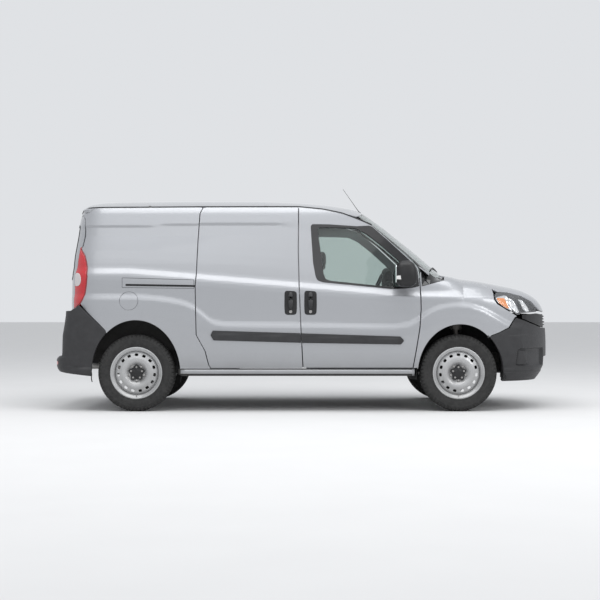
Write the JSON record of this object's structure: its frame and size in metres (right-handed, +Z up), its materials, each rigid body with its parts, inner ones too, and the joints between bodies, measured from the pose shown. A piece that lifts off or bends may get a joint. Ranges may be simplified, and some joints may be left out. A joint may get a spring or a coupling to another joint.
{
  "type": "panel van",
  "caption": "Compact short-wheelbase panel van with hinged front doors, sliding side doors, hinged rear doors, opening bonnet and steered front wheels.",
  "frame": {"origin": "on the ground, under the middle of the van's length and width", "axes": "+X forward, +Y to the van's left, +Z up"},
  "size_m": [4.344, 2.15, 1.975],
  "materials": {
    "paint": "metallic gloss",
    "glass": "clear, light green tint",
    "lamp_clear": "clear lens over silver reflector",
    "lamp_red": "gloss",
    "black_plastic": "grained",
    "fabric": "woven",
    "steel": "dull",
    "chassis": "matt black",
    "wheel_steel": "silver paint",
    "tyre": "matt"
  },
  "bodies": {
    "body": {"underbody": "chassis", "firewall": "chassis", "pillars": "paint", "quarter_panels": "paint", "roof_panel": "paint", "windscreen": "glass", "wings": "paint", "front_bumper": "black_plastic", "grille": "black_plastic", "headlamps": "lamp_clear", "rear_bumper": "black_plastic", "tail_lamps": "lamp_red", "sliding_doors": "paint", "seats": "fabric", "dashboard": "black_plastic", "engine_block": "steel", "front_subframe": "chassis", "rear_axle": "chassis", "fuel_tank": "black_plastic", "exhaust": "steel", "wipers": "black_plastic", "antenna": "black_plastic", "roof_rack_bosses": "steel"},
    "bonnet": {"bonnet": "paint"},
    "front_door_right": {"front_door_right": "paint", "door_glass_right": "glass", "mirror_right": "black_plastic"},
    "front_door_left": {"front_door_left": "paint", "door_glass_left": "glass", "mirror_left": "black_plastic"},
    "rear_door_right": {"rear_door_right": "paint", "rear_window_right": "glass"},
    "rear_door_left": {"rear_door_left": "paint", "rear_window_left": "glass"},
    "fuel_flap": {"fuel_flap": "paint"},
    "steering_wheel": {"steering_wheel": "black_plastic"},
    "knuckle_right": {"knuckle_right": "chassis"},
    "knuckle_left": {"knuckle_left": "chassis"},
    "wheel_front_right": {"rim_front_right": "wheel_steel", "tyre_front_right": "tyre"},
    "wheel_front_left": {"rim_front_left": "wheel_steel", "tyre_front_left": "tyre"},
    "wheel_rear_right": {"rim_rear_right": "wheel_steel", "tyre_rear_right": "tyre"},
    "wheel_rear_left": {"rim_rear_left": "wheel_steel", "tyre_rear_left": "tyre"}
  },
  "joints": [
    {"name": "bonnet_hinge", "type": "hinge", "parent": "body", "child": "bonnet", "pos_m": [1.068, 0, 1.166], "axis": [0, -1, 0], "range_deg": [0, 50]},
    {"name": "front_door_right_hinge", "type": "hinge", "parent": "body", "child": "front_door_right", "pos_m": [0.955, -0.899, 0.8], "axis": [0, 0, 1], "range_deg": [0, 68]},
    {"name": "front_door_left_hinge", "type": "hinge", "parent": "body", "child": "front_door_left", "pos_m": [0.955, 0.899, 0.8], "axis": [0, 0, -1], "range_deg": [0, 68]},
    {"name": "rear_door_right_hinge", "type": "hinge", "parent": "body", "child": "rear_door_right", "pos_m": [-2.05, -0.815, 1], "axis": [0, 0, 1], "range_deg": [0, 180]},
    {"name": "rear_door_left_hinge", "type": "hinge", "parent": "body", "child": "rear_door_left", "pos_m": [-2.05, 0.815, 1], "axis": [0, 0, -1], "range_deg": [0, 180]},
    {"name": "fuel_flap_hinge", "type": "hinge", "parent": "body", "child": "fuel_flap", "pos_m": [-1.425, -0.886, 0.943], "axis": [0, 0, 1], "range_deg": [0, 100]},
    {"name": "steering_wheel_turn", "type": "hinge", "parent": "body", "child": "steering_wheel", "pos_m": [0.66, 0.37, 1.037], "axis": [-0.9272, 0, 0.3746], "range_deg": [-540, 540]},
    {"name": "steer_right", "type": "hinge", "parent": "body", "child": "knuckle_right", "pos_m": [1.305, -0.625, 0.328], "axis": [0, 0, 1], "range_deg": [-35, 35]},
    {"name": "steer_left", "type": "hinge", "parent": "body", "child": "knuckle_left", "pos_m": [1.305, 0.625, 0.328], "axis": [0, 0, 1], "range_deg": [-35, 35]},
    {"name": "wheel_front_right_spin", "type": "hinge", "parent": "knuckle_right", "child": "wheel_front_right", "pos_m": [1.305, -0.762, 0.328], "axis": [0, 1, 0], "continuous": true},
    {"name": "wheel_front_left_spin", "type": "hinge", "parent": "knuckle_left", "child": "wheel_front_left", "pos_m": [1.305, 0.762, 0.328], "axis": [0, 1, 0], "continuous": true},
    {"name": "wheel_rear_right_spin", "type": "hinge", "parent": "body", "child": "wheel_rear_right", "pos_m": [-1.45, -0.762, 0.328], "axis": [0, 1, 0], "continuous": true},
    {"name": "wheel_rear_left_spin", "type": "hinge", "parent": "body", "child": "wheel_rear_left", "pos_m": [-1.45, 0.762, 0.328], "axis": [0, 1, 0], "continuous": true}
  ],
  "couplings": [
    {"joint": "steer_left", "follows": "steer_right", "ratio": 1},
    {"joint": "steering_wheel_turn", "follows": "steer_right", "ratio": 15}
  ]
}
